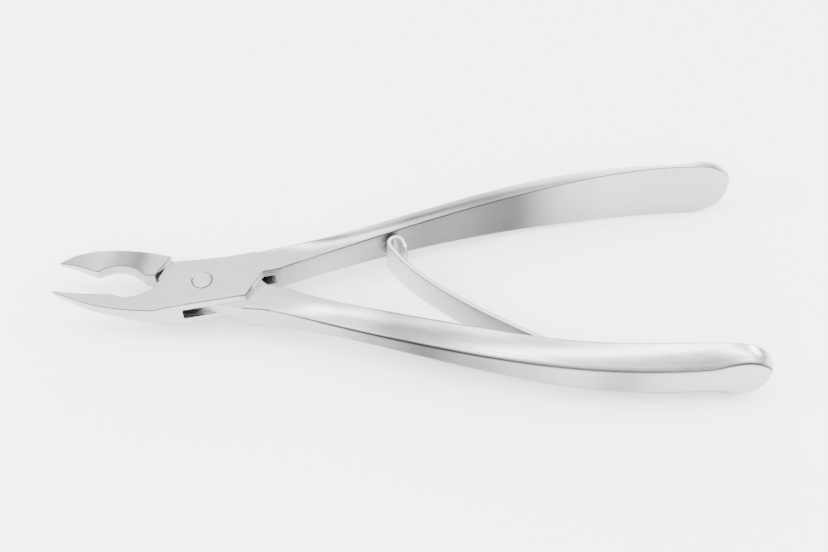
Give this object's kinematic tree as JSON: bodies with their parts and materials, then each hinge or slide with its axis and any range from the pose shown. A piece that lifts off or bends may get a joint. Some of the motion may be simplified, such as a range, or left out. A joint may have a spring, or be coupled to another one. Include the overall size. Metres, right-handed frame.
{
  "type": "grozing pliers",
  "caption": "Steel grozing pliers with a box joint, hollowed nibbling jaws, bowed palm handles and a leaf return spring.",
  "frame": {"origin": "on the pivot axis, in the plane of the lower cheek's outside face", "axes": "+Z along the pivot axis and out of the upper cheek, +X towards the handles along the line midway between them at rest, +Y towards the slotted lever's handle"},
  "size_m": [0.1467, 0.0538, 0.0162],
  "materials": {
    "forged_steel": "satin polished stainless steel",
    "pin_steel": "ground flush with the box",
    "spring_steel": "rolled spring steel",
    "screw_steel": "turned steel"
  },
  "bodies": {
    "slotted_half": {"slotted_lever": "forged_steel", "pivot_pin": "pin_steel"},
    "tongue_half": {"tongue_lever": "forged_steel", "leaf_spring_foot": "spring_steel", "spring_screw": "screw_steel"},
    "spring_blade": {"leaf_spring_blade": "spring_steel"}
  },
  "joints": [
    {"name": "jaw_pivot", "type": "hinge", "parent": "slotted_half", "child": "tongue_half", "pos_m": [0, 0, 0.0034], "axis": [0, 0, 1], "range_deg": [-5, 12.2], "stiffness_Nm_per_rad": 3},
    {"name": "spring_flex", "type": "hinge", "parent": "tongue_half", "child": "spring_blade", "pos_m": [0.06564, -0.01567, 0.0034], "axis": [0, 0, 1], "range_deg": [-8.5, 20]}
  ],
  "couplings": [
    {"joint": "spring_flex", "follows": "jaw_pivot", "ratio": 1.6}
  ]
}
